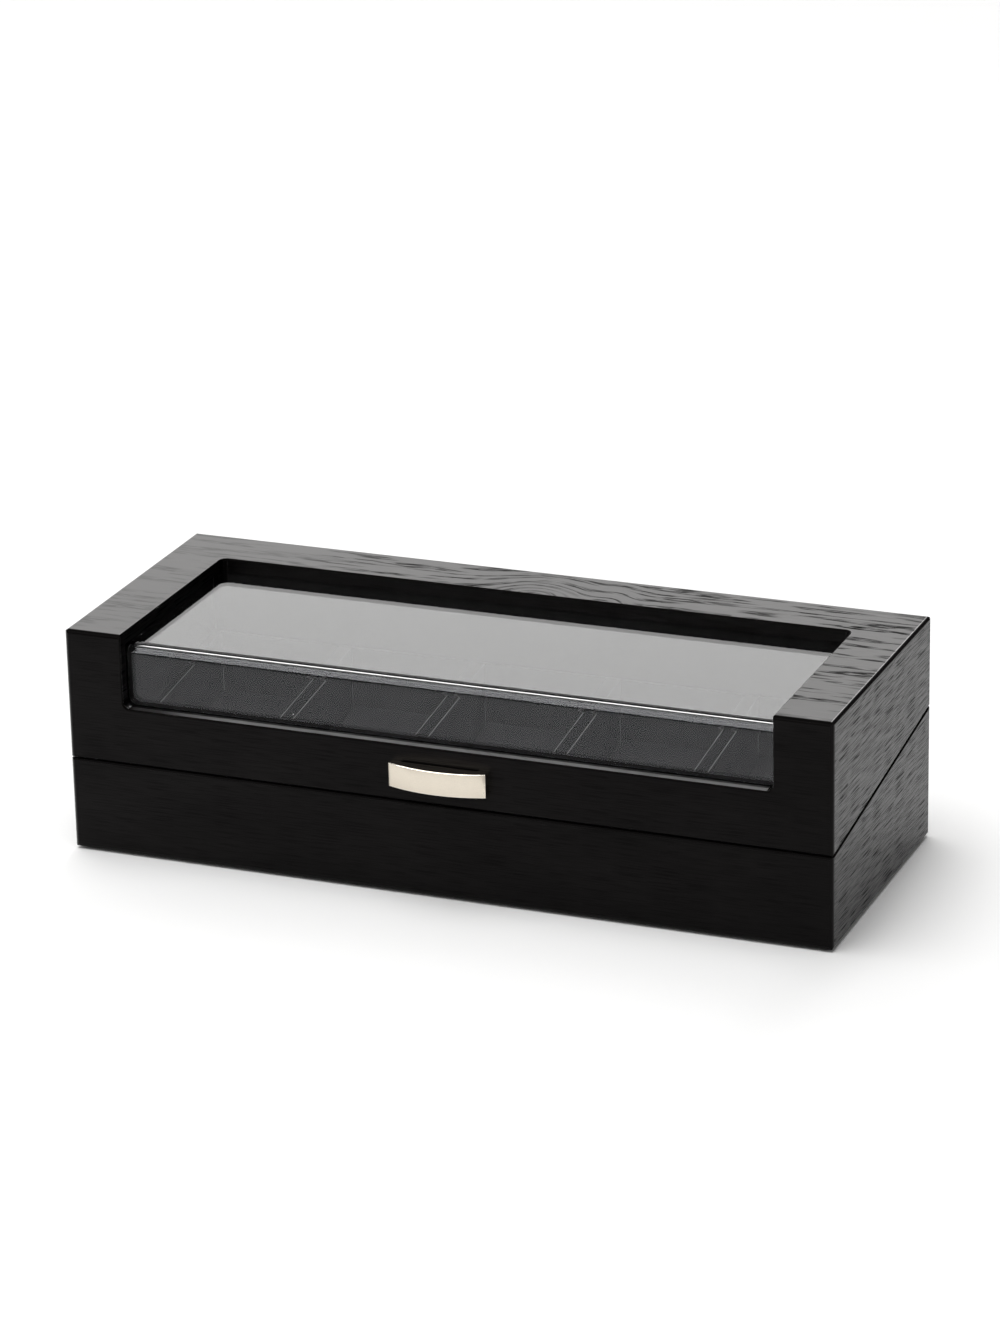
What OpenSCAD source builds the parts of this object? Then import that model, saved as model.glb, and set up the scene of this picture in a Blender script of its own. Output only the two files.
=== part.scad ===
// Display case for several pairs of glasses: a veneered box whose rims are cut on a slope, with a bent clear
// pane in the lid, a slotted tray in the base, two stop hinges at the rear and a bowed pull at the front.
// +X to the right, +Y to the rear, +Z up. The origin is the middle of the underside.

/* [Case] */
// Width of the case
case_w = 450; // [420:1:500]
// Depth of the case without its pull and hinges
case_d = 174; // [165:1:200]
// Height of the case on its felt
case_h = 132; // [125:1:150]
// Thickness of the veneered boards
board_t = 13; // [12:0.5:15]
// Thickness of the panel on top
top_t = 7.5; // [6:0.5:9]
// Radius on the outer edges
edge_r = 2.5; // [1.5:0.5:3.5]

/* [Split] */
// Height of the split on the front face
split_front = 55.5; // [50:0.5:60]
// Height of the split on the rear face
split_rear = 79; // [70:0.5:82]
// Gap between the two rims
rim_gap = 0.8; // [0.6:0.1:1.2]
// Radius on the outer edges of both rims
rim_r = 1.2; // [0.8:0.1:1.6]

/* [Window] */
// Width of the wood beside the window
side_strip = 34; // [28:1:40]
// Width of the wood behind the window
rear_strip = 37; // [30:1:42]
// Height of the window's sill
sill_z = 88.5; // [85:0.5:95]
// Radius of the window's corners
window_r = 4.5; // [3:0.5:6]
// Radius on the window's outer edges
window_edge_r = 1; // [0.8:0.1:1.8]
// Thickness of the wood in front of the pane
window_lip = 7.5; // [6:0.5:8]
// Thickness of the bent pane
pane_t = 3; // [2:0.5:3]
// Outer radius of the pane's bend
pane_bend_r = 7; // [3.5:0.5:7]

/* [Tray] */
// Number of slots
slot_count = 5; // [3:1:6]
// Thickness of the dividers and of the end liners
divider_t = 8.4; // [6:0.2:10]
// Depth of a slot from the rim to its pad
slot_depth = 32; // [24:1:33]
// Thickness of a slot's pad
pad_t = 6; // [4:0.5:7]

/* [Pull] */
// Width of the pull
pull_w = 57; // [50:1:64]
// Height of the pull
pull_h = 13.8; // [12:0.2:16]
// How far the middle of the pull stands out
pull_out = 10; // [9:0.5:12]
// How far the middle of the pull is in front of its ends
pull_bow = 5; // [4:0.5:6]

/* [Hinges] */
// Distance of each hinge from the middle
hinge_x = 140; // [100:5:160]
// Length of a hinge
hinge_l = 44; // [36:1:50]
// Angle at which the hinges stop the lid
lid_stop = 95; // [90:1:100]

/* [Hidden] */
$fn = 64;
felt_t = 1;            // underside felt
felt_inset = 4;
bottom_t = 5;          // bottom panel
rabbet = 6;            // how far the bottom panel reaches into the boards
floor_t = 4;           // tray floor
bearer_w = 14;
bearer_x = 150;
liner_t = 2;           // front and rear liners of the base
lid_liner_t = 6;
window_frame_d = 10;   // from the front of the pane to the back of the frame that holds it
frame_corner_play = 0.5;  // how much rounder that frame's upper front corner is than the inside of the bend
liner_drop = 1;        // liners and dividers end this far from the rims
pane_lap = 9;          // how far the pane reaches past the window's sill
pane_gap = 0.5;        // open joint between the wood of the front and the pane
pad_play = 0.4;        // room around a pad
leaf_t = 1.6;
leaf_d = 11;           // how far a hinge leaf reaches over the rim
knuckle_r = 2.6;
knuckle_count = 5;
knuckle_play = 0.3;           // room around a knuckle in the other leaf
knuckle_gap = 0.1;            // half of the gap between two knuckles
pin_r = 1.2;
pin_play = 0.05;
axis_out = knuckle_r + 0.4;   // hinge axis behind the rear face
stop_reach = 6.5;             // outer radius of the stop flanges
stop_t = 1.4;
stop_spare = 0.25;            // half of the play left between the flanges
web_inset = 0.2;              // webs of the flanges end this far inside their knuckles
web_lap = 0.5;                // how far the webs reach into the knuckles and flanges
screw_r = 1.5;
screw_head_r = 2.8;
screw_l = 12;
screw_x = 14;                 // hinge screws from the middle of a hinge
screw_y = 6;                  // hinge screws in front of the rear face
hole_play = 0.05;
pull_plate = 2;               // wall of the pull
pull_leg = 6;
pull_screw_r = 1.25;
pull_screw_head_r = 2.6;
pull_screw_head_t = 1.8;
pull_bite = 4;                // how far the screws reach into the legs
pull_recess = 2.5;            // depth of the recesses for their heads
bumper_r = 4;
bumper_play = 0.05;
big = 2 * case_w;

half_w = case_w / 2;
half_d = case_d / 2;
inner_w = half_w - board_t;   // half the width between the side boards
inner_d = half_d - board_t;   // half the depth between the front and rear boards
split_angle = atan((split_rear - split_front) / case_d);
rim_l = case_d / cos(split_angle);
board_top = case_h - top_t;
window_w = half_w - side_strip;
window_y = half_d - rear_strip;
tray_w = inner_w - divider_t;
tray_d = inner_d - liner_t;
slot_w = (2 * tray_w - (slot_count - 1) * divider_t) / slot_count;
slot_pitch = slot_w + divider_t;
pane_low = sill_z - pane_lap;
pane_y = window_lip - half_d;
frame_y = pane_y + window_frame_d;
frame_corner_r = pane_bend_r - pane_t + frame_corner_play;
pull_z = (split_front + sill_z) / 2 + 0.3;
pull_r = (pow(pull_w / 2, 2) + pow(pull_bow, 2)) / (2 * pull_bow);
knuckle_l = hinge_l / knuckle_count;

wood = [0.09, 0.088, 0.088];
suede = [0.16, 0.155, 0.155];
raw_board = [0.42, 0.33, 0.25];
steel = [0.78, 0.76, 0.72];

DIVIDERS = [for (i = [1 : slot_count - 1]) str("divider_", i)];
PADS = [for (i = [1 : slot_count]) str("slot_pad_", i)];

// ---- Helpers ----

// Frame of the split: origin on the rear face, y along the rims to the rear, z away from the base.
module at_split() {
    translate([0, half_d, split_rear]) rotate([split_angle, 0, 0]) children();
}

module below_split(drop) {
    at_split() translate([-big / 2, -big / 2, -big - drop]) cube([big, big, big]);
}

module above_split(rise) {
    at_split() translate([-big / 2, -big / 2, rise]) cube([big, big, big]);
}

// Layer between two depths under the split.
module split_layer(low, high) {
    at_split() translate([-big / 2, -big / 2, -low]) cube([big, big, low - high]);
}

// Upright block, given by its lowest and highest x and y, over the whole height of the case.
module upright(x0, x1, y0, y1) {
    translate([x0, y0, 0]) cube([x1 - x0, y1 - y0, case_h]);
}

module rounded_rect(w, h, r) {
    square([w, h - 2 * r], center = true);
    square([w - 2 * r, h], center = true);
    for (x = [-1, 1], y = [-1, 1])
        translate([x * (w / 2 - r), y * (h / 2 - r)]) circle(r);
}

// Bar along +X that rounds the edge of a solid lying at y < 0 and z < 0.
module arris(length, r) {
    rotate([90, 0, 90]) linear_extrude(length) difference() {
        translate([-r, -r]) square(r + 1);
        translate([-r, -r]) circle(r);
    }
}

// The same around the corner of an opening.
module arris_turn(corner_r, r) {
    rotate_extrude(angle = 90) difference() {
        translate([corner_r - 1, -r]) square(r + 1);
        translate([corner_r + r, -r]) circle(r);
    }
}

// Whole outer form of the closed case, with rounded edges.
module outer_form() {
    tall = case_h - felt_t;
    middle = (case_h + felt_t) / 2;
    intersection() {
        translate([0, 0, felt_t]) linear_extrude(tall) rounded_rect(case_w, case_d, edge_r);
        rotate([90, 0, 90]) translate([0, middle, -half_w]) linear_extrude(case_w)
            rounded_rect(case_d, tall, edge_r);
        rotate([90, 0, 0]) translate([0, middle, -half_d]) linear_extrude(case_d)
            rounded_rect(case_w, tall, edge_r);
    }
}

// Ring of boards around the case, cut into four by mitres. Side 0 is the front, then right, rear and left.
module mitred(side) {
    outer = [[-half_w, -half_d], [half_w, -half_d], [half_w, half_d], [-half_w, half_d]];
    inner = [[-inner_w, -inner_d], [inner_w, -inner_d], [inner_w, inner_d], [-inner_w, inner_d]];
    next = (side + 1) % 4;
    linear_extrude(case_h) polygon([outer[side], outer[next], inner[next], inner[side]]);
}

// Rounds the outer edges of one rim. Up is 1 for the base's rim and -1 for the lid's.
module rim_edges(up) {
    at_split() mirror([0, 0, up > 0 ? 0 : 1]) translate([0, 0, -rim_gap / 2]) {
        translate([-half_w, 0, 0]) arris(case_w, rim_r);
        translate([half_w, -rim_l, 0]) rotate([0, 0, 180]) arris(case_w, rim_r);
        for (s = [0, 1])
            mirror([s, 0, 0]) translate([half_w, 0, 0]) rotate([0, 0, -90]) arris(rim_l, rim_r);
    }
}

// Rounds the edges of a window cut in a solid at z < 0. Its closed edge is y = 0, and it runs to y = -reach.
module window_edges(reach) {
    translate([window_w - window_r, 0, 0]) rotate([0, 0, 180])
        arris(2 * (window_w - window_r), window_edge_r);
    for (s = [0, 1]) mirror([s, 0, 0]) {
        translate([window_w, -reach, 0]) rotate([0, 0, 90]) arris(reach - window_r, window_edge_r);
        translate([window_w - window_r, -window_r, 0]) arris_turn(window_r, window_edge_r);
    }
}

module top_window() {
    reach = window_y + half_d + window_r + 10;
    translate([0, window_y - reach / 2, board_top - 1]) linear_extrude(top_t + 2)
        rounded_rect(2 * window_w, reach, window_r);
    translate([0, window_y, case_h]) window_edges(case_d);
}

// The notch that continues the window in the front, without rounded edges.
module front_notch() {
    reach = case_h - sill_z + window_r + 10;
    translate([0, frame_y + 1, sill_z + reach / 2]) rotate([90, 0, 0])
        linear_extrude(frame_y + half_d + 2) rounded_rect(2 * window_w, reach, window_r);
}

module front_window_edges() {
    translate([0, -half_d, sill_z]) rotate([0, 180, 0]) rotate([90, 0, 0]) window_edges(case_h);
}

// ---- Base boards ----

module bottom_recess() {
    w = inner_w + rabbet;
    d = inner_d + rabbet;
    translate([-w, -d, felt_t]) cube([2 * w, 2 * d, bottom_t]);
}

module base_board(side) {
    difference() {
        intersection() {
            outer_form();
            below_split(rim_gap / 2);
            mitred(side);
        }
        bottom_recess();
        rim_edges(1);
    }
}

module base_front_board() { color(wood) base_board(0); }
module base_right_board() { color(wood) base_board(1); }
module base_left_board() { color(wood) base_board(3); }

module base_rear_board() {
    color(wood) difference() {
        base_board(2);
        for (s = [-1, 1]) {
            leaf_mortise(s * hinge_x, 1);
            screw_holes(s * hinge_x, 1);
        }
    }
}

module base_bottom_panel() { color(raw_board) bottom_recess(); }

module underside_felt() {
    w = case_w - 2 * felt_inset;
    d = case_d - 2 * felt_inset;
    color("black") linear_extrude(felt_t) rounded_rect(w, d, edge_r);
}

// ---- Tray ----

module tray_floor() {
    top = slot_depth + pad_t;
    color(suede) intersection() {
        upright(-tray_w, tray_w, -tray_d, tray_d);
        split_layer(top + floor_t, top);
    }
}

module floor_bearer(x) {
    color(raw_board) difference() {
        intersection() {
            upright(x - bearer_w / 2, x + bearer_w / 2, 10 - tray_d, tray_d - 10);
            below_split(slot_depth + pad_t + floor_t);
        }
        translate([-half_w, -half_d, -1]) cube([case_w, case_d, 1 + felt_t + bottom_t]);
    }
}

module floor_bearer_left() { floor_bearer(-bearer_x); }
module floor_bearer_centre() { floor_bearer(0); }
module floor_bearer_right() { floor_bearer(bearer_x); }

module base_liner(x0, x1, y0, y1) {
    color(suede) difference() {
        intersection() {
            upright(x0, x1, y0, y1);
            below_split(rim_gap / 2 + liner_drop);
        }
        translate([-half_w, -half_d, -1]) cube([case_w, case_d, 1 + felt_t + bottom_t]);
    }
}

module base_liner_front() { base_liner(-tray_w, tray_w, -inner_d, -tray_d); }
module base_liner_rear() { base_liner(-tray_w, tray_w, tray_d, inner_d); }
module base_liner_left() { base_liner(-inner_w, -tray_w, -inner_d, inner_d); }
module base_liner_right() { base_liner(tray_w, inner_w, -inner_d, inner_d); }

module divider(i) {
    x = (i - slot_count / 2) * slot_pitch;
    color(suede) intersection() {
        upright(x - divider_t / 2, x + divider_t / 2, -tray_d, tray_d);
        split_layer(slot_depth + pad_t, rim_gap / 2 + liner_drop);
    }
}

module slot_pad(i) {
    x = (i - (slot_count + 1) / 2) * slot_pitch;
    w = slot_w / 2 - pad_play;
    d = tray_d - pad_play;
    color(suede) intersection() {
        upright(x - w, x + w, -d, d);
        split_layer(slot_depth + pad_t, slot_depth);
    }
}

// ---- Rim bumpers ----

module rim_bumpers() {
    color([0.8, 0.8, 0.8, 0.6]) at_split() for (s = [-1, 1])
        translate([s * (half_w - board_t), -rim_l + board_t / 2, -rim_gap / 2])
            cylinder(h = rim_gap - bumper_play, r = bumper_r);
}

// ---- Hinges ----
// Side is 1 for the base's half of a hinge, and -1 for the lid's, which is its mirror image in the split.

module hinge_side(x, side) {
    at_split() translate([x, 0, 0]) mirror([0, 0, side > 0 ? 0 : 1]) children();
}

module leaf_mortise(x, side) {
    hinge_side(x, side) translate([-hinge_l / 2, -leaf_d, -rim_gap / 2 - leaf_t])
        cube([hinge_l, leaf_d + 5, leaf_t + 5]);
}

module screw_spots() {
    for (s = [-1, 1]) translate([s * screw_x, -screw_y, -rim_gap / 2]) children();
}

module countersunk(play, length) {
    head = screw_head_r - screw_r;
    translate([0, 0, -head]) cylinder(h = head, r1 = screw_r + play, r2 = screw_head_r + play);
    translate([0, 0, -length - play]) cylinder(h = length + play, r = screw_r + play);
}

module screw_holes(x, side) {
    hinge_side(x, side) screw_spots() countersunk(hole_play, screw_l);
}

// Knuckles of one side: the base has the odd ones of the five, and the lid the even ones between them.
function side_knuckles(side) = [side > 0 ? 0 : 1 : 2 : knuckle_count - 1];
function knuckle_start(i, gap) = i * knuckle_l - hinge_l / 2 + (i > 0 ? gap : 0);
function knuckle_end(i, gap) = (i + 1) * knuckle_l - hinge_l / 2 - (i < knuckle_count - 1 ? gap : 0);

module knuckles(side, r, gap) {
    for (i = side_knuckles(side))
        translate([knuckle_start(i, gap), axis_out, 0]) rotate([0, 90, 0])
            cylinder(h = knuckle_end(i, gap) - knuckle_start(i, gap), r = r);
}

// Flange behind the knuckles. It meets the other leaf's flange when the lid is fully open.
module stop_flange(side) {
    near = knuckle_r + knuckle_play;
    root = pin_r + web_lap;
    translate([0, axis_out, 0]) rotate([-lid_stop / 2 - stop_spare, 0, 0]) {
        translate([-hinge_l / 2, near, -stop_t]) cube([hinge_l, stop_reach - near, stop_t]);
        for (i = side_knuckles(side)) {
            start = knuckle_start(i, knuckle_gap) + web_inset;
            width = knuckle_end(i, knuckle_gap) - web_inset - start;
            translate([start, root, -stop_t]) cube([width, near - root + web_lap, stop_t]);
        }
    }
}

module hinge_leaf(x, side) {
    bore = pin_r + (side > 0 ? 0 : pin_play);
    color(steel) hinge_side(x, side) difference() {
        union() {
            difference() {
                translate([-hinge_l / 2, -leaf_d, -rim_gap / 2 - leaf_t])
                    cube([hinge_l, leaf_d + axis_out, leaf_t]);
                knuckles(-side, knuckle_r + knuckle_play, 0);
            }
            knuckles(side, knuckle_r, knuckle_gap);
            stop_flange(side);
        }
        translate([-hinge_l, axis_out, 0]) rotate([0, 90, 0]) cylinder(h = 2 * hinge_l, r = bore);
        screw_spots() countersunk(hole_play, screw_l);
    }
}

module hinge_pin(x) {
    color(steel) at_split() translate([x - hinge_l / 2, axis_out, 0]) rotate([0, 90, 0])
        cylinder(h = hinge_l, r = pin_r);
}

module cross_recess(r, depth) {
    for (a = [0, 90]) rotate([0, 0, a])
        translate([-r, -0.35, -depth]) cube([2 * r, 0.7, depth + 1]);
}

module hinge_screws(side) {
    color(steel) for (s = [-1, 1]) hinge_side(s * hinge_x, side) screw_spots() difference() {
        countersunk(0, screw_l);
        cross_recess(1.6, 0.8);
    }
}

module left_hinge_base_leaf() { hinge_leaf(-hinge_x, 1); }
module right_hinge_base_leaf() { hinge_leaf(hinge_x, 1); }
module left_hinge_lid_leaf() { hinge_leaf(-hinge_x, -1); }
module right_hinge_lid_leaf() { hinge_leaf(hinge_x, -1); }
module left_hinge_pin() { hinge_pin(-hinge_x); }
module right_hinge_pin() { hinge_pin(hinge_x); }
module base_hinge_screws() { hinge_screws(1); }
module lid_hinge_screws() { hinge_screws(-1); }

// ---- Lid boards ----

module lid_board(side) {
    difference() {
        intersection() {
            outer_form();
            above_split(rim_gap / 2);
            mitred(side);
            translate([-half_w, -half_d, 0]) cube([case_w, case_d, board_top]);
        }
        rim_edges(-1);
    }
}

module lid_front_board() {
    color(wood) difference() {
        lid_board(0);
        front_notch();
        front_window_edges();
        translate([-inner_w, pane_y - pane_gap, pane_low]) cube([2 * inner_w, board_t, case_h]);
        pull_holes(pull_screw_r + hole_play);
    }
}

module lid_right_board() { color(wood) lid_board(1); }
module lid_left_board() { color(wood) lid_board(3); }

module lid_rear_board() {
    color(wood) difference() {
        lid_board(2);
        for (s = [-1, 1]) {
            leaf_mortise(s * hinge_x, -1);
            screw_holes(s * hinge_x, -1);
        }
    }
}

module lid_top_panel() {
    color(wood) difference() {
        intersection() {
            outer_form();
            translate([-half_w, -half_d, board_top]) cube([case_w, case_d, top_t]);
        }
        top_window();
        front_window_edges();
    }
}

// ---- Window pane ----

// Everything under the top face and behind the front face of the bent sheet, moved in by inset.
module behind_pane(inset, r) {
    front = pane_y + inset;
    top = board_top - inset;
    translate([front, 0]) square([big, top - r]);
    translate([front + r, 0]) square([big, top]);
    translate([front + r, top - r]) circle(r);
}

module window_pane() {
    w = inner_w - 0.5;
    color([0.75, 0.78, 0.8, 0.35]) rotate([90, 0, 90]) translate([0, 0, -w]) linear_extrude(2 * w)
        intersection() {
            difference() {
                behind_pane(0, pane_bend_r);
                behind_pane(pane_t, pane_bend_r - pane_t);
            }
            translate([pane_y, pane_low]) square([inner_d - 0.5 - pane_y, case_h]);
        }
}

// ---- Lid liners, which hold the pane ----

module lid_liner(x0, x1, y0, y1, top) {
    color(suede) intersection() {
        upright(x0, x1, y0, y1);
        above_split(rim_gap / 2 + liner_drop);
        translate([-half_w, -half_d, 0]) cube([case_w, case_d, top]);
    }
}

module lid_side_liner(x0, x1) {
    lid_liner(x0, x1, frame_y, inner_d, board_top - pane_t);
}

module lid_liner_left() { lid_side_liner(-inner_w, lid_liner_t - inner_w); }
module lid_liner_right() { lid_side_liner(inner_w - lid_liner_t, inner_w); }

module lid_liner_rear() {
    w = inner_w - lid_liner_t;
    lid_liner(-w, w, inner_d - lid_liner_t, inner_d, board_top - pane_t);
}

// The front liner is a frame around the window. It is rebated, so that the pane's lower edge stands on it.
module lid_liner_front() {
    back = pane_y + pane_t;
    color(suede) difference() {
        intersection() {
            union() {
                lid_liner(-inner_w, inner_w, -inner_d, frame_y, board_top);
                translate([-inner_w, back, pane_low])
                    cube([2 * inner_w, frame_y - back, board_top - pane_low]);
            }
            rotate([90, 0, 90]) translate([0, 0, -inner_w]) linear_extrude(2 * inner_w)
                behind_pane(pane_t, frame_corner_r);
        }
        front_notch();
        pull_holes(pull_screw_head_r + 0.5);
    }
}

// ---- Pull ----

module pull_holes(r) {
    for (s = [-1, 1])
        translate([s * (pull_w - pull_leg) / 2, pull_recess - inner_d, pull_z]) rotate([90, 0, 0])
            cylinder(h = pull_recess + board_t + pull_bite + 0.2, r = r);
}

// Plan of the bowed front, from the board out to the given inset.
module bow_plan(inset, half) {
    intersection() {
        translate([0, pull_r - half_d - pull_out]) circle(pull_r - inset, $fn = 180);
        translate([-half, -half_d - pull_out]) square([2 * half, pull_out]);
    }
}

module pull_handle() {
    inside = pull_w / 2 - pull_leg;
    color([0.83, 0.79, 0.72]) difference() {
        translate([0, 0, pull_z - pull_h / 2]) linear_extrude(pull_h) bow_plan(0, pull_w / 2);
        translate([0, 0, pull_z - pull_h / 2 - 1]) linear_extrude(pull_h + 1 - pull_plate)
            bow_plan(pull_plate, inside);
        translate([-inside, -half_d - 1.2, pull_z - pull_h]) cube([2 * inside, 2, 2 * pull_h]);
        pull_holes(pull_screw_r + hole_play);
    }
}

module pull_screws() {
    color(steel) for (s = [-1, 1])
        translate([s * (pull_w - pull_leg) / 2, -inner_d, pull_z]) rotate([90, 0, 0]) difference() {
            union() {
                cylinder(h = board_t + pull_bite, r = pull_screw_r);
                translate([0, 0, -pull_screw_head_t])
                    cylinder(h = pull_screw_head_t, r = pull_screw_head_r);
            }
            translate([0, 0, -pull_screw_head_t]) rotate([180, 0, 0]) cross_recess(1.5, 0.9);
        }
}

// ---- Nodes ----

base_front_board();
base_rear_board();
base_left_board();
base_right_board();
base_bottom_panel();
underside_felt();
tray_floor();
floor_bearer_left();
floor_bearer_centre();
floor_bearer_right();
base_liner_front();
base_liner_rear();
base_liner_left();
base_liner_right();
for (i = [1 : slot_count - 1]) divider(i);
for (i = [1 : slot_count]) slot_pad(i);
rim_bumpers();
base_hinge_screws();
left_hinge_base_leaf();
right_hinge_base_leaf();
left_hinge_pin();
right_hinge_pin();
lid_top_panel();
lid_front_board();
lid_rear_board();
lid_left_board();
lid_right_board();
window_pane();
lid_liner_front();
lid_liner_rear();
lid_liner_left();
lid_liner_right();
left_hinge_lid_leaf();
right_hinge_lid_leaf();
lid_hinge_screws();
pull_handle();
pull_screws();
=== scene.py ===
"""Looks of the glasses organizer: black veneer, suede tray, bent clear window and champagne pull.

Every length in a material is in millimetres of the object's own frame. Everything else is in metres.
"""

import math

import bmesh
import bpy
from mathutils import Matrix, Quaternion, Vector, noise


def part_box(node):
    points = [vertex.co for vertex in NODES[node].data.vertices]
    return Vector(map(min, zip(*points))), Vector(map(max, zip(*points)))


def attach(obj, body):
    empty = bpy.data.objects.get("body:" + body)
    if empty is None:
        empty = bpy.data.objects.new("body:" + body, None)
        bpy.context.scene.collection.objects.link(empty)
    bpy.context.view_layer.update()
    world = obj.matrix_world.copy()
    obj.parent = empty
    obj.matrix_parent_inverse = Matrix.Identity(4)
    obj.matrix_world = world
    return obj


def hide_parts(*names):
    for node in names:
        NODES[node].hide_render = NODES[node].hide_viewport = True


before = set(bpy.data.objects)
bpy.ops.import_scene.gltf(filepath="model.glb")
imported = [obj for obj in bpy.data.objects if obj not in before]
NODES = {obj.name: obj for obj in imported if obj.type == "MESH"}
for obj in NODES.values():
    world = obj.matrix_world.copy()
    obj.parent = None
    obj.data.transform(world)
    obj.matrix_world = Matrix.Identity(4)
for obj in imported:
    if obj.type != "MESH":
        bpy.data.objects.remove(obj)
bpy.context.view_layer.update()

MM = 0.001
SLOT_COUNT = 5
STUDIO_AIM = (0.0, -0.08, 0.12)

# The rims between base and lid climb from front to rear. The tray floor and the cushions slope with them.
RIM_FRONT = 55.5
RIM_REAR = 79.0
CASE_DEPTH = 174.0
SPLIT_TILT = math.atan2(RIM_REAR - RIM_FRONT, CASE_DEPTH)

# ---------------------------------------------------------------- material graphs


class Field:
    """One value of a material, with arithmetic."""

    def __init__(self, graph, socket):
        self.graph = graph
        self.socket = socket

    def __add__(self, other):
        return self.graph.math("ADD", self, other)

    def __radd__(self, other):
        return self.graph.math("ADD", other, self)

    def __sub__(self, other):
        return self.graph.math("SUBTRACT", self, other)

    def __rsub__(self, other):
        return self.graph.math("SUBTRACT", other, self)

    def __mul__(self, other):
        return self.graph.math("MULTIPLY", self, other)

    def __rmul__(self, other):
        return self.graph.math("MULTIPLY", other, self)

    def __truediv__(self, other):
        return self.graph.math("DIVIDE", self, other)

    def __abs__(self):
        return self.graph.math("ABSOLUTE", self)

    def clamped(self):
        return self.graph.math("ADD", self, 0.0, clamp=True)


class Graph:
    """Node tree of one material, with its helpers."""

    def __init__(self, name):
        self.material = bpy.data.materials.new(name)
        self.material.use_nodes = True
        self.tree = self.material.node_tree
        self.tree.nodes.clear()

    def put(self, socket, value):
        if isinstance(value, Field):
            self.tree.links.new(value.socket, socket)
        elif isinstance(value, tuple) and socket.type == "RGBA" and len(value) == 3:
            socket.default_value = (*value, 1.0)
        else:
            socket.default_value = value

    def node(self, kind, inputs=None, output=0, **settings):
        made = self.tree.nodes.new(kind)
        for name, value in settings.items():
            setattr(made, name, value)
        for key, value in (inputs or {}).items():
            self.put(made.inputs[key], value)
        return Field(self, made.outputs[output])

    def math(self, operation, a, b=None, clamp=False):
        inputs = {0: a}
        if b is not None:
            inputs[1] = b
        return self.node("ShaderNodeMath", inputs, operation=operation, use_clamp=clamp)

    def step(self, value, low, high):
        """0 below low and 1 above high, with a smooth change between them."""
        inputs = {"Value": value, "From Min": low, "From Max": high}
        return self.node("ShaderNodeMapRange", inputs, interpolation_type="SMOOTHSTEP")

    def lerp(self, factor, a, b):
        return self.node("ShaderNodeMix", {0: factor, 2: a, 3: b}, data_type="FLOAT")

    def tint(self, factor, a, b):
        """Colour between a and b."""
        return self.node("ShaderNodeMix", {0: factor, 6: a, 7: b}, output=2, data_type="RGBA")

    def shade(self, value, colour):
        """The colour times a value."""
        return self.node("ShaderNodeVectorMath", {0: colour, 3: value}, operation="SCALE")

    def split(self, vector):
        parts = self.tree.nodes.new("ShaderNodeSeparateXYZ")
        self.put(parts.inputs[0], vector)
        return [Field(self, parts.outputs[i]) for i in range(3)]

    def vector(self, x, y, z):
        return self.node("ShaderNodeCombineXYZ", {0: x, 1: y, 2: z})

    def place(self):
        """Place in the object's own frame, in millimetres."""
        coords = self.node("ShaderNodeTexCoord", output="Object")
        scaled = self.node("ShaderNodeVectorMath", {0: coords, 3: 1000.0}, operation="SCALE")
        return self.split(scaled)

    def facing(self):
        """How far the face looks along x, y and z, each from 0 to 1."""
        return [abs(part) for part in self.split(self.node("ShaderNodeTexCoord", output="Normal"))]

    def noise(self, x, y, z, detail=1.0, roughness=0.5):
        inputs = {"Vector": self.vector(x, y, z), "Scale": 1.0, "Detail": detail, "Roughness": roughness}
        return self.node("ShaderNodeTexNoise", inputs)

    def cells(self, x, y, z, output="Distance"):
        inputs = {"Vector": self.vector(x, y, z), "Scale": 1.0}
        return self.node("ShaderNodeTexVoronoi", inputs, output=output)

    def bump(self, height, depth, strength=1.0):
        """Relief of the given depth in millimetres."""
        inputs = {"Height": height, "Distance": depth * MM, "Strength": strength}
        return self.node("ShaderNodeBump", inputs)

    def surface(self, **values):
        inputs = {name.replace("_", " "): value for name, value in values.items()}
        return self.node("ShaderNodeBsdfPrincipled", inputs)

    def finish(self, shader):
        output = self.tree.nodes.new("ShaderNodeOutputMaterial")
        self.put(output.inputs["Surface"], shader)
        return self.material


# ---------------------------------------------------------------- materials


def bell(graph, value, centre, width):
    """Bell curve of height 1."""
    spread = (value - centre) / width
    return graph.math("EXPONENT", spread * spread * -1.0)


def veneer_field(graph, x, y):
    """Distance across the grain on the top: straight, with a cathedral figure behind the window."""
    humps = bell(graph, x, 3.0, 26.0) * 34.0 + bell(graph, x, 46.0, 12.0) * 9.0
    fade = ((95.0 - y) / 40.0).clamped()
    return y - humps * fade


# Borders of the window, for its masks: each mask changes between the two places, in millimetres.
WINDOW_SIDE = (190.9, 191.3)
WINDOW_REAR = (50.1, 50.5)
WALL_FRONT = (-86.0, -85.0)
WALL_FOOT = (88.6, 89.2)
SILL_FOOT = (87.0, 87.4)
SILL_TOP = (89.2, 89.6)
CORNER_FRONT = (-82.6, -81.8)


def window_painted_shade(graph, place, top, frontal):
    """Painted shade on the window's upright side walls, painted shadow on a line of the sill just in front
    of the pane, and where the sill is.
    """
    x, y, z = place
    inside = (1.0 - graph.step(abs(x), *WINDOW_SIDE)) * (1.0 - graph.step(y, *WINDOW_REAR))
    upright = inside * (1.0 - top) * (1.0 - frontal)
    # Painted shade: the upright walls inside the window opening.
    shaded_walls = upright * graph.step(y, *WALL_FRONT) * graph.step(z, *WALL_FOOT)
    sill = inside * (1.0 - graph.step(z, *SILL_TOP)) * graph.step(z, *SILL_FOOT)
    # Painted shadow: a line on the sill just in front of the pane.
    shadow_line = sill * graph.step(y, *CORNER_FRONT)
    return (shaded_walls + shadow_line).clamped(), sill


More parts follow.
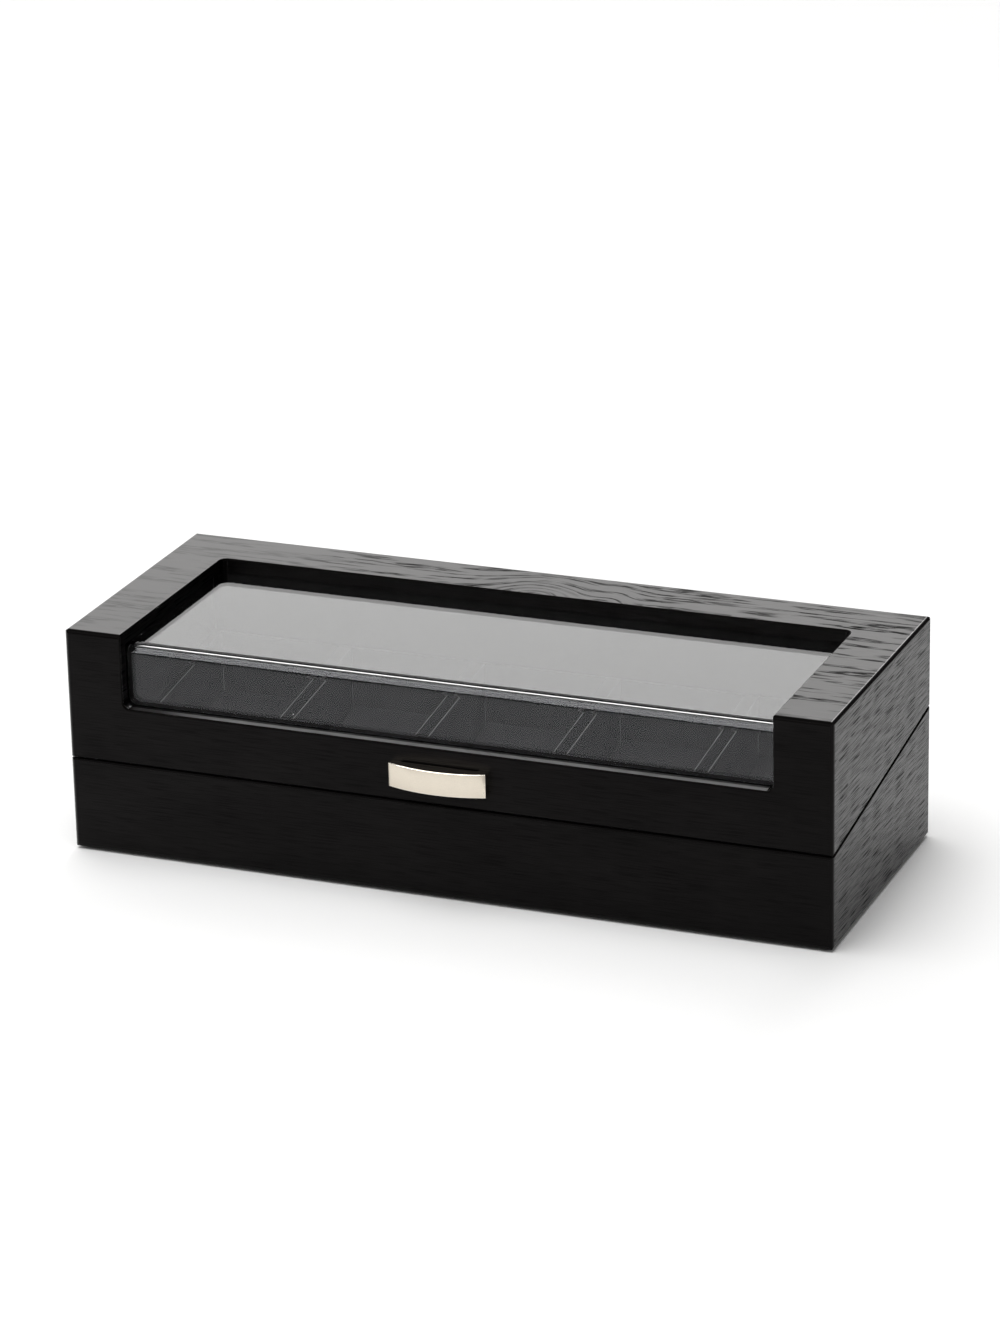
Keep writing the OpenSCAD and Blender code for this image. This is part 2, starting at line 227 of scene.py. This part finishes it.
def open_pores(graph, along, across, side, top, dense, seed):
    """Dark pores of the veneer: in rings and clusters on the top, fine and even on the upright faces."""
    drift = graph.noise(along / 40.0, across / 12.0, seed + 5.0) * 3.0
    long_pores = graph.step(graph.noise(along / 13.0, (across + drift) / 0.90, seed, 1.0, 0.35), 0.42, 0.52)
    short_pores = graph.step(graph.noise(along / 20.0, across / 0.50, seed + 17.0, 0.0), 0.53, 0.60)
    rings = graph.step(graph.noise(along / 60.0, (across + drift) / 4.2, seed + 23.0, 0.0), 0.49, 0.57)
    clusters = graph.step(graph.noise(along / 45.0, across / 13.0, seed + 11.0), 0.34, 0.52)
    flat_sawn = long_pores * (rings * 0.93 + 0.07) * (clusters * 0.7 + 0.3) * dense
    quarter_sawn = (long_pores * 0.10 + short_pores * 0.75).clamped() * graph.lerp(side, 0.4, 1.0)
    return graph.lerp(top, quarter_sawn, flat_sawn)


def black_veneer(name, rims_along_y):
    """Black stained open-pore veneer under a satin lacquer."""
    graph = Graph(name)
    x, y, z = graph.place()
    nx, ny, nz = graph.facing()
    side = graph.step(nx, 0.55, 0.75)
    top = graph.step(nz, 0.55, 0.75)
    along = graph.lerp(side, x, y)
    across = graph.lerp(top, z, veneer_field(graph, x, y))
    if rims_along_y:
        along = graph.lerp(top, along, y)
        across = graph.lerp(top, across, x)
    seed = side * 37.0 + top * 71.0
    dense = graph.lerp(top, 1.0, graph.step(x, -175.0, -80.0) * 0.7 + 0.3)
    fibres = graph.noise(along / 30.0, across / 0.35, seed + 31.0, 1.0) - 0.5
    clouds = graph.noise(along / 75.0, across / 20.0, seed + 41.0, 2.0) - 0.5

    flattest = graph.math("MAXIMUM", graph.math("MAXIMUM", nx, ny), nz)
    arris = 1.0 - graph.step(flattest, 0.955, 0.992)
    painted_shade, sill = window_painted_shade(graph, (x, y, z), top, graph.step(ny, 0.55, 0.75))
    pores = open_pores(graph, along, across, side, top, dense, seed)
    pores = pores * (1.0 - arris * 0.8) * (1.0 - sill * 0.75)

    facing = graph.node("ShaderNodeLayerWeight", {"Blend": 0.5}, output="Facing")
    front_arris = arris * graph.step(ny, 0.12, 0.30) * graph.step(nz, 0.12, 0.30)
    # Painted shade: the window's walls and the line before the pane lose nearly all their gloss here and
    # most of their colour below.
    dulled = (1.0 - painted_shade * 0.94) * (1.0 - front_arris * 0.85)
    dulled = dulled * (1.0 - side * 0.22) * (1.0 - sill * 0.25)
    gloss = (graph.step(facing, 0.10, 0.62) * 0.43 + 0.07) * dulled
    patchy = 1.0 + clouds * graph.lerp(side, 0.30, 0.12) + fibres * 0.25 - pores * 0.90
    # Painted shade darkens the colour of the window's walls and of the line before the pane.
    shading = (1.0 + clouds * 0.8 + fibres * 0.5 - pores * 0.6) * (1.0 - painted_shade * 0.7)
    shader = graph.surface(
        Base_Color=graph.shade(shading, (0.0030, 0.0026, 0.0025)),
        IOR=1.50,
        Roughness=0.30 + pores * 0.28 + fibres * 0.06 + clouds * 0.05 - arris * 0.22,
        Specular_IOR_Level=gloss * patchy,
        Specular_Tint=(1.0, 0.972, 0.982),
        Normal=graph.bump(fibres * 0.2 - pores, 0.05, 0.6),
    )
    return graph.finish(shader)


def raw_board():
    """Unlacquered birch board inside the case."""
    graph = Graph("raw_board")
    x, y, z = graph.place()
    _nx, _ny, nz = graph.facing()
    flat = graph.step(nz, 0.5, 0.7)
    plies = graph.step(graph.math("SINE", z * 4.2), -0.3, 0.3)
    grain = graph.noise(x / 40.0, y / 1.6, z / 1.6, 3.0, 0.6)
    broad = graph.noise(x / 120.0, y / 14.0, z / 14.0, 1.0)
    tone = graph.lerp(flat, plies * 0.5 + 0.25, grain)
    colour = graph.tint(tone, (0.36, 0.24, 0.14), (0.55, 0.41, 0.27))
    shader = graph.surface(
        Base_Color=graph.shade(0.8 + broad * 0.4, colour),
        Roughness=0.62 + grain * 0.15,
        Specular_IOR_Level=0.3,
        Normal=graph.bump(grain, 0.08, 0.5),
    )
    return graph.finish(shader)


def felt():
    """Pressed black felt."""
    graph = Graph("felt")
    x, y, z = graph.place()
    fibres = graph.noise(x / 0.5, y / 0.5, z / 0.5, 3.0, 0.7)
    tufts = graph.noise(x / 3.0, y / 3.0, z / 3.0, 2.0, 0.6)
    hairs = graph.step(graph.noise(x / 2.5 + tufts * 2.0, y / 0.25, z / 0.25, 1.0), 0.62, 0.72)
    shader = graph.surface(
        Base_Color=graph.shade(0.6 + fibres * 0.8 + hairs * 0.8, (0.016, 0.016, 0.017)),
        Roughness=0.95,
        Specular_IOR_Level=0.1,
        Sheen_Weight=0.25,
        Sheen_Roughness=0.6,
        Normal=graph.bump(fibres + tufts * 0.6 + hairs * 0.4, 0.35, 0.9),
    )
    return graph.finish(shader)


def suede(name, base, nap_scale, sheen, edge_highlight=0.0, painted_top_shade=0.0):
    """Microfibre suede: short nap in brushed patches. A painted highlight can make it paler and glossier,
    for edges that catch light, and painted shade darkens it where it faces up.
    """
    graph = Graph(name)
    x, y, z = graph.place()
    upward = graph.step(graph.facing()[2], 0.80, 0.95)
    warp = graph.noise(x / 25.0, y / 25.0, z / 25.0, 2.0) * 30.0
    swirl_x = (x + warp) / nap_scale
    swirl_y = (y - warp) / (nap_scale * 1.6)
    brushed = graph.step(graph.noise(swirl_x, swirl_y, z / nap_scale, 2.0, 0.55), 0.38, 0.64)
    nap = graph.noise(x / 0.38, y / 0.38, z / 0.38, 2.0, 0.7)
    lint = graph.step(graph.noise(x / 1.1, y / 1.1, z / 1.1, 1.0), 0.70, 0.78)
    # Painted highlight: the edge amount makes the nap paler here and glossier below, for edges that catch
    # light.
    tone = 0.62 + nap * 0.5 + brushed * 0.30 + lint * 0.25 + edge_highlight * (0.8 + nap * 1.2)
    # Painted shade: faces that look up are made darker.
    tone = tone * (1.0 - upward * painted_top_shade)
    shader = graph.surface(
        Base_Color=graph.shade(tone, base),
        Roughness=0.88 - brushed * 0.08 - edge_highlight * 0.1,
        Specular_IOR_Level=0.006 + edge_highlight * 0.35,
        Sheen_Weight=sheen * (0.55 + brushed * 0.45),
        Sheen_Roughness=0.42,
        Sheen_Tint=(0.92, 0.93, 1.0),
        Normal=graph.bump(nap + brushed * 0.8, 0.10, 0.7),
    )
    return graph.finish(shader)


def clear_acrylic():
    """Bent clear sheet with a little dust on it. Lamps shine through it."""
    graph = Graph("clear_acrylic")
    x, y, z = graph.place()
    spread = graph.noise(x / 60.0, y / 60.0, z / 60.0, 1.0)
    spots = graph.cells(x / 9.0, y / 9.0, z / 9.0)
    chosen = graph.split(graph.cells(x / 9.0, y / 9.0, z / 9.0, "Color"))[0]
    dust = (1.0 - graph.step(spots, 0.025, 0.040)) * graph.step(chosen, 0.86, 0.90)
    haze = graph.noise(x / 18.0, y / 18.0, z / 18.0, 3.0)
    glass = graph.surface(
        Base_Color=(0.985, 0.99, 0.992),
        Roughness=0.004 + haze * 0.01,
        IOR=1.35,
        Specular_Tint=(0.955, 0.96, 1.0),
        Transmission_Weight=1.0,
        Normal=graph.bump(spread, 0.01, 0.05),
    )
    specks = graph.surface(Base_Color=(0.75, 0.75, 0.74), Roughness=0.9, Normal=graph.bump(haze, 0.02, 0.3))
    dusty = graph.node("ShaderNodeMixShader", {0: dust * 0.85, 1: glass, 2: specks})
    clear = graph.node("ShaderNodeBsdfTransparent", {"Color": (0.94, 0.95, 0.95)})
    lamp_ray = graph.node("ShaderNodeLightPath", output="Is Shadow Ray")
    return graph.finish(graph.node("ShaderNodeMixShader", {0: lamp_ray, 1: dusty, 2: clear}))


def acrylic_edge():
    """Flame-polished edge of the sheet."""
    graph = Graph("clear_acrylic_edge")
    x, y, z = graph.place()
    ripple = graph.noise(x / 6.0, y / 6.0, z / 1.5, 2.0)
    glass = graph.surface(
        Base_Color=(0.93, 0.955, 0.96),
        Roughness=0.10 + ripple * 0.12,
        IOR=1.35,
        Transmission_Weight=1.0,
        Normal=graph.bump(ripple, 0.03, 0.4),
    )
    return graph.finish(glass)


def champagne(name, roughness, base, brushing):
    """Champagne-coloured metal, of the given roughness in front and polished elsewhere."""
    graph = Graph(name)
    x, y, z = graph.place()
    lines = graph.noise(x / 5.0, y / 5.0, z / 0.10, 2.0, 0.6) - 0.5
    specks = graph.noise(x / 0.5, y / 0.5, z / 0.5, 2.0, 0.6) - 0.5
    patches = graph.noise(x / 11.0, y / 11.0, z / 7.0, 2.0) - 0.5
    tone = 1.0 + patches * 0.10 + specks * brushing * 0.35 + lines * brushing * 0.25
    front = graph.step(graph.facing()[1], 0.75, 0.90)
    shader = graph.surface(
        Base_Color=graph.shade(tone, base),
        Metallic=1.0,
        Roughness=graph.lerp(front, 0.09, roughness) * (1.0 + patches * 0.25 + specks * 0.25),
        Normal=graph.bump(lines + specks, 0.012, brushing),
    )
    return graph.finish(shader)


def hinge_steel():
    """Brushed nickel-plated steel."""
    graph = Graph("hinge_steel")
    x, y, z = graph.place()
    lines = graph.noise(x / 14.0, y / 0.12, z / 0.12, 2.0, 0.6) - 0.5
    stains = graph.noise(x / 9.0, y / 9.0, z / 9.0, 3.0) - 0.5
    shader = graph.surface(
        Base_Color=graph.shade(1.0 + stains * 0.16 + lines * 0.12, (0.58, 0.56, 0.53)),
        Metallic=1.0,
        Roughness=0.27 + stains * 0.12 + lines * 0.10,
        Anisotropic=0.4,
        Normal=graph.bump(lines, 0.01, 0.5),
    )
    return graph.finish(shader)


def clear_silicone():
    """Milky clear rubber of the rim bumpers."""
    graph = Graph("clear_silicone")
    x, y, z = graph.place()
    cloud = graph.noise(x / 1.2, y / 1.2, z / 1.2, 2.0)
    shader = graph.surface(
        Base_Color=graph.shade(0.9 + cloud * 0.2, (0.80, 0.81, 0.80)),
        Roughness=0.32 + cloud * 0.15,
        IOR=1.41,
        Transmission_Weight=0.7,
        Subsurface_Weight=0.15,
        Normal=graph.bump(cloud, 0.02, 0.4),
    )
    return graph.finish(shader)


def studio_floor_paper():
    """Matt pale paper of the floor."""
    graph = Graph("floor_paper")
    x, y, z = graph.place()
    fine = graph.noise(x / 1.5, y / 1.5, z, 2.0, 0.6)
    broad = graph.noise(x / 900.0, y / 900.0, z, 1.0)
    shader = graph.surface(
        Base_Color=graph.shade(0.975 + broad * 0.03 + fine * 0.02, (0.80, 0.80, 0.80)),
        Roughness=0.95,
        Specular_IOR_Level=0.05,
        Normal=graph.bump(fine, 0.02, 0.3),
    )
    return graph.finish(shader)


VENEER = black_veneer("black_veneer", rims_along_y=False)
VENEER_SIDE = black_veneer("black_veneer_side_board", rims_along_y=True)
RAW_BOARD = raw_board()
FELT = felt()
# Painted shade on the faces that look up: divider and liner tops, tray floor.
SUEDE = suede("suede", base=(0.0072, 0.0070, 0.0070), nap_scale=14.0, sheen=0.002, painted_top_shade=0.85)
# Painted highlight: liner and divider edges get a paler, glossier suede so that they show as light lines.
SUEDE_EDGE = suede("suede_edge_highlight", base=(0.040, 0.039, 0.039), nap_scale=14.0, sheen=0.4, edge_highlight=0.5)
PAD_SUEDE = suede("pad_suede", base=(0.0070, 0.0068, 0.0070), nap_scale=22.0, sheen=0.004)
ACRYLIC = clear_acrylic()
ACRYLIC_EDGE = acrylic_edge()
SATIN = champagne("champagne_metal", roughness=0.30, base=(0.72, 0.655, 0.555), brushing=0.5)
POLISHED = champagne("champagne_metal_edge", roughness=0.10, base=(0.96, 0.90, 0.80), brushing=0.1)
STEEL = hinge_steel()
SILICONE = clear_silicone()

# ---------------------------------------------------------------- CAD nodes that are shown


def dress(node, material, bevel=0.0, edge=None, segments=2, clamped=True):
    """Gives a CAD node its material, and rounds its sharp edges by a bevel of so many millimetres."""
    piece = NODES[node]
    piece.data.materials.clear()
    piece.data.materials.append(material)
    if edge:
        piece.data.materials.append(edge)
    if not bevel:
        return
    weld = piece.modifiers.new("weld", "WELD")
    weld.merge_threshold = 0.01 * MM
    rounding = piece.modifiers.new("rounding", "BEVEL")
    rounding.width = bevel * MM
    rounding.segments = segments
    rounding.limit_method = "ANGLE"
    rounding.angle_limit = math.radians(40)
    rounding.harden_normals = True
    rounding.use_clamp_overlap = clamped
    rounding.material = 1 if edge else -1


def dress_all():
    dress("lid_top_panel", VENEER)
    for body in ("lid", "base"):
        for spot in ("front", "rear"):
            dress(f"{body}_{spot}_board", VENEER)
        for spot in ("left", "right"):
            dress(f"{body}_{spot}_board", VENEER_SIDE)
    dress("base_bottom_panel", RAW_BOARD)
    for spot in ("left", "centre", "right"):
        dress(f"floor_bearer_{spot}", RAW_BOARD, 0.3)
    dress("underside_felt", FELT, 0.25)
    dress("tray_floor", SUEDE, 0.2)
    for spot in ("front", "rear", "left", "right"):
        dress(f"base_liner_{spot}", SUEDE, 0.5, SUEDE_EDGE, 3)
        dress(f"lid_liner_{spot}", SUEDE, 0.5, SUEDE_EDGE, 3)
    for i in range(1, SLOT_COUNT):
        dress(f"divider_{i}", SUEDE, 0.5, SUEDE_EDGE, 3)
    dress("rim_bumpers", SILICONE, 0.2)
    for spot in ("left", "right"):
        dress(f"{spot}_hinge_base_leaf", STEEL, 0.12)
        dress(f"{spot}_hinge_lid_leaf", STEEL, 0.12)
        dress(f"{spot}_hinge_pin", STEEL)
    for part in ("base_hinge_screws", "lid_hinge_screws", "pull_screws"):
        dress(part, STEEL)
    dress("pull_handle", SATIN, 0.45, POLISHED, 3, clamped=False)


# ---------------------------------------------------------------- pieces made here

# Material slots of the bent pane.
PANE_FACE = 0
PANE_EDGE = 1

# How far the cushions' covers may swell, and how much smaller than its slot a cover starts.
CUSHION_SWELL = 1.7 * MM
CUSHION_SHRINK = Vector((1.0, 1.4, 1.6)) * MM
PAD_THICKNESS = 6.0 * MM


def link(name, mesh):
    """Object of that mesh, in the scene."""
    piece = bpy.data.objects.new(name, mesh)
    bpy.context.scene.collection.objects.link(piece)
    return piece


def pane_profile(low, front, rear, top, radius, inset, segments=28):
    """Side view of one face of the bent sheet, from its lower edge over the bend to its rear edge.

    A guard point close to each end of the bend keeps the flat parts free of the bend's shading.
    """
    bend = radius - inset
    centre = (front + radius, top - radius)
    guard = 0.2 * MM
    points = [(front + inset, low), (front + inset, centre[1] - guard)]
    for i in range(segments + 1):
        turn = math.radians(90.0 * i / segments)
        points.append((centre[0] - bend * math.cos(turn), centre[1] + bend * math.sin(turn)))
    points.append((centre[0] + guard, top - inset))
    points.append((rear, top - inset))
    return points


def pane_outline(lo, hi):
    """Closed side view of the bent sheet, and the number of its points that lie on the outer face.

    It runs over the outer face, round the chamfered rear edge, back along the inner face and round the
    lower edge.
    """
    chamfer = 0.25 * MM
    thick = 3.0 * MM
    bend = 7.0 * MM
    rows = []
    for cut, inset in ((chamfer, 0.0), (0.0, chamfer), (0.0, thick - chamfer), (chamfer, thick)):
        rows.append(pane_profile(lo.z + cut, lo.y, hi.y - cut, hi.z, bend, inset))
    outer, upper, lower, inner = rows
    rear_edge = upper[-1:] + lower[-1:]
    low_edge = lower[:1] + upper[:1]
    return outer + rear_edge + inner[::-1] + low_edge, len(outer)


def cap_pane(mesh, ring, face_points):
    """Closes one end of the sheet with quads across its thickness and one face at each chamfered edge."""
    outer = list(range(face_points))
    inner = list(range(2 * face_points + 1, face_points + 1, -1))
    caps = []
    for i in range(face_points - 1):
        caps.append((outer[i], outer[i + 1], inner[i + 1], inner[i]))
    caps.append((outer[-1], outer[-1] + 1, outer[-1] + 2, inner[-1]))
    caps.append((inner[0], inner[0] + 1, inner[0] + 2, outer[0]))
    for corners in caps:
        mesh.faces.new([ring[i] for i in corners]).material_index = PANE_EDGE


def pane_mesh():
    """The bent sheet, with its end rings doubled so that the caps don't tilt the shading of the bend."""
    lo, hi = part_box("window_pane")
    outline, face_points = pane_outline(lo, hi)
    guard = 0.3 * MM
    count = len(outline)
    mesh = bmesh.new()
    rings = []
    for x in (lo.x, lo.x + guard, hi.x - guard, hi.x):
        rings.append([mesh.verts.new((x, y, z)) for y, z in outline])
    for i in range(count):
        j = (i + 1) % count
        on_outer = i < face_points - 1
        on_inner = face_points + 1 < i < 2 * face_points + 1
        on_bend = 0 < i < face_points - 2 or face_points + 2 < i < 2 * face_points
        for near, far in zip(rings, rings[1:]):
            face = mesh.faces.new((near[i], near[j], far[j], far[i]))
            face.smooth = on_bend
            face.material_index = PANE_FACE if on_outer or on_inner else PANE_EDGE
    for ring in (rings[0], rings[-1]):
        cap_pane(mesh, ring, face_points)
    bmesh.ops.recalc_face_normals(mesh, faces=mesh.faces)
    data = bpy.data.meshes.new("bent_pane")
    mesh.to_mesh(data)
    mesh.free()
    return data


def bent_pane():
    """Clear sheet bent over the front edge, with polished edges and tiny chamfers."""
    data = pane_mesh()
    data.materials.append(ACRYLIC)
    data.materials.append(ACRYLIC_EDGE)
    piece = link("bent_pane", data)
    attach(piece, "lid")
    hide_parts("window_pane")


def rounded_block(size):
    """Closed block of quads about the origin, with its edges cut round."""
    mesh = bmesh.new()
    bmesh.ops.create_cube(mesh, size=1.0)
    bmesh.ops.scale(mesh, vec=size, verts=mesh.verts)
    bmesh.ops.bevel(
        mesh, geom=list(mesh.edges), offset=min(size) * 0.33, segments=3, profile=0.5, affect="EDGES"
    )
    data = bpy.data.meshes.new("block")
    mesh.to_mesh(data)
    mesh.free()
    return data


def evaluated_mesh(piece):
    """Mesh of a piece with its modifiers applied."""
    depsgraph = bpy.context.evaluated_depsgraph_get()
    return bpy.data.meshes.new_from_object(piece.evaluated_get(depsgraph))


def swollen(size, limit, frames=20):
    """Mesh of a thin stuffed block, blown up by cloth pressure. No point moves further than the limit."""
    block = link("cushion_form", rounded_block(size))
    remesh = block.modifiers.new("remesh", "REMESH")
    remesh.mode = "VOXEL"
    remesh.voxel_size = 2.0 * MM
    data = evaluated_mesh(block)
    bpy.data.objects.remove(block)
    start = [v.co.copy() for v in data.vertices]
    cover = link("cushion_cover", data)
    cloth = cover.modifiers.new("cloth", "CLOTH")
    cloth.settings.quality = 6
    cloth.settings.mass = 0.2
    cloth.settings.tension_stiffness = 12
    cloth.settings.compression_stiffness = 12
    cloth.settings.bending_stiffness = 0.4
    cloth.settings.use_pressure = True
    cloth.settings.uniform_pressure_force = 4.0
    cloth.settings.effector_weights.gravity = 0.0
    scene = bpy.context.scene
    for number in range(1, frames + 1):
        scene.frame_set(number)
    result = evaluated_mesh(cover)
    bpy.data.objects.remove(cover)
    scene.frame_set(1)
    for vertex, origin in zip(result.vertices, start):
        move = vertex.co - origin
        if move.length > limit:
            vertex.co = origin + move * (limit / move.length)
    return result


def settle(data, size, seed):
    """Flattens the underside, keeps the sides in the slot and gives the top slight hollows of its own."""
    half_w, half_d, half_h = size[0] / 2, size[1] / 2, size[2] / 2
    for vertex in data.vertices:
        x, y, z = vertex.co
        share = min(max((z + half_h) / (2 * half_h), 0.0), 1.0)
        wander = noise.noise(Vector((x / 0.030, y / 0.040, seed * 7.3)))
        fine = noise.noise(Vector((x / 0.009, y / 0.012, seed * 3.1)))
        z += share * (wander * 0.55 + fine * 0.12) * MM
        vertex.co = (
            min(max(x, -half_w), half_w),
            min(max(y, -half_d), half_d),
            max(z, -half_h),
        )


def cushion(number, cover):
    """One slot's pad: a suede cushion that lies on the sloping tray floor."""
    node = f"slot_pad_{number}"
    lo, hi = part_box(node)
    size = cushion_size(lo, hi)
    data = cover.copy()
    data.name = f"cushion_{number}"
    if number % 2 == 0:
        data.transform(Matrix.Scale(-1.0, 4, Vector((1.0, 0.0, 0.0))))
        data.flip_normals()
    settle(data, size, number)
    tilt = Matrix.Rotation(SPLIT_TILT, 4, "X")
    data.transform(Matrix.Translation((lo + hi) / 2) @ tilt)
    for polygon in data.polygons:
        polygon.use_smooth = True
    data.materials.clear()
    data.materials.append(PAD_SUEDE)
    piece = link(f"cushion_{number}", data)
    smooth = piece.modifiers.new("subdivision", "SUBSURF")
    smooth.levels = 1
    smooth.render_levels = 1
    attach(piece, "base")
    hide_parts(node)


def cushion_size(lo, hi):
    """Size of a pad in its own sloping frame."""
    depth = (hi.y - lo.y) / math.cos(SPLIT_TILT) - PAD_THICKNESS * math.tan(SPLIT_TILT)
    return Vector((hi.x - lo.x, depth, PAD_THICKNESS))


def cushions():
    size = cushion_size(*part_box("slot_pad_1"))
    cover = swollen(size - CUSHION_SHRINK, CUSHION_SWELL)
    for number in range(1, SLOT_COUNT + 1):
        cushion(number, cover)
    bpy.data.meshes.remove(cover)


# ---------------------------------------------------------------- studio


def floor():
    """Round sheet of paper under the object."""
    mesh = bmesh.new()
    bmesh.ops.create_circle(mesh, cap_ends=True, segments=96, radius=8.0)
    data = bpy.data.meshes.new("floor")
    mesh.to_mesh(data)
    mesh.free()
    data.materials.append(studio_floor_paper())
    link("floor", data)


def surround(graph):
    """Brightness of the studio: window and rim light behind, dark wall on the right, dim horizon ahead."""
    right, back, up = graph.split(graph.node("ShaderNodeTexCoord", output="Generated"))
    window = graph.step(back, 0.20, 0.45) * (1.0 - graph.step(right, -0.12, 0.12))
    window = window * graph.step(up, 0.05, 0.16) * (1.0 - graph.step(up, 0.80, 0.92))
    rim = graph.step(right, -0.17, -0.10) * (1.0 - graph.step(right, -0.04, 0.02))
    rim = rim * graph.step(back, 0.4, 0.6)
    dark_wall = graph.step(back, 0.30, 0.60) * graph.step(right, 0.02, 0.18)
    dark_wall = dark_wall * graph.step(up, -0.25, -0.10)
    ahead = 1.0 - graph.step(back, -0.3, 0.1)
    dark_horizon = ahead * (1.0 - graph.step(abs(up), 0.10, 0.30))
    lit = 0.45 + window * 1.36 + rim * 3.4
    return lit * (1.0 - dark_wall * 0.93) * (1.0 - dark_horizon * 0.7)


def world_light():
    """Soft studio surround. The camera itself sees plain white."""
    world = bpy.data.worlds.new("studio")
    bpy.context.scene.world = world
    world.use_nodes = True
    graph = Graph("studio_surround")
    graph.tree = world.node_tree
    graph.tree.nodes.clear()
    studio = surround(graph)
    seen = graph.node("ShaderNodeLightPath", output="Is Camera Ray")
    radiance = graph.lerp(seen, studio, 0.97)
    light = graph.node("ShaderNodeBackground", {"Color": (1.0, 0.995, 0.985), "Strength": radiance})
    output = graph.tree.nodes.new("ShaderNodeOutputWorld")
    graph.put(output.inputs["Surface"], light)
    bpy.data.materials.remove(graph.material)


def area_light(name, place, aim, size, power, diffuse=True, glossy=True):
    """Rectangular lamp at a place, aimed at a point."""
    data = bpy.data.lights.new(name, "AREA")
    data.shape = "RECTANGLE"
    data.size, data.size_y = size
    data.energy = power
    lamp = bpy.data.objects.new(name, data)
    bpy.context.scene.collection.objects.link(lamp)
    lamp.location = place
    lamp.rotation_euler = (Vector(aim) - Vector(place)).to_track_quat("-Z", "Y").to_euler()
    lamp.visible_diffuse = diffuse
    lamp.visible_glossy = glossy
    lamp.visible_camera = False


def lights():
    """A softbox in front that only shows in gloss, and a wide lamp overhead that never does."""
    area_light("softbox", (-0.641, -1.564, 1.287), STUDIO_AIM, size=(2.4, 1.49), power=43.0, diffuse=False)
    area_light("overhead", (-0.80, -0.80, 6.0), (0.0, 0.0, 0.0), size=(5.0, 5.0), power=350.0, glossy=False)


def camera():
    """Camera as solved from the case's straight edges."""
    azimuth = math.radians(22.1138)
    elevation = math.radians(20.603)
    roll = math.radians(-1.2258)
    distance = 2.79723
    target = Vector((0.001197, 0.0, 0.105957))
    back = Vector((
        math.sin(azimuth) * math.cos(elevation),
        -math.cos(azimuth) * math.cos(elevation),
        math.sin(elevation),
    ))
    data = bpy.data.cameras.new("camera")
    data.lens = 135.46
    data.sensor_width = 36.0
    data.clip_end = 60.0
    eye = bpy.data.objects.new("camera", data)
    bpy.context.scene.collection.objects.link(eye)
    eye.location = target + back * distance
    eye.rotation_mode = "QUATERNION"
    eye.rotation_quaternion = (-back).to_track_quat("-Z", "Y") @ Quaternion((0.0, 0.0, 1.0), roll)
    bpy.context.scene.camera = eye


camera()
dress_all()
bent_pane()
cushions()
floor()
world_light()
lights()
bpy.context.scene.view_settings.view_transform = "Standard"
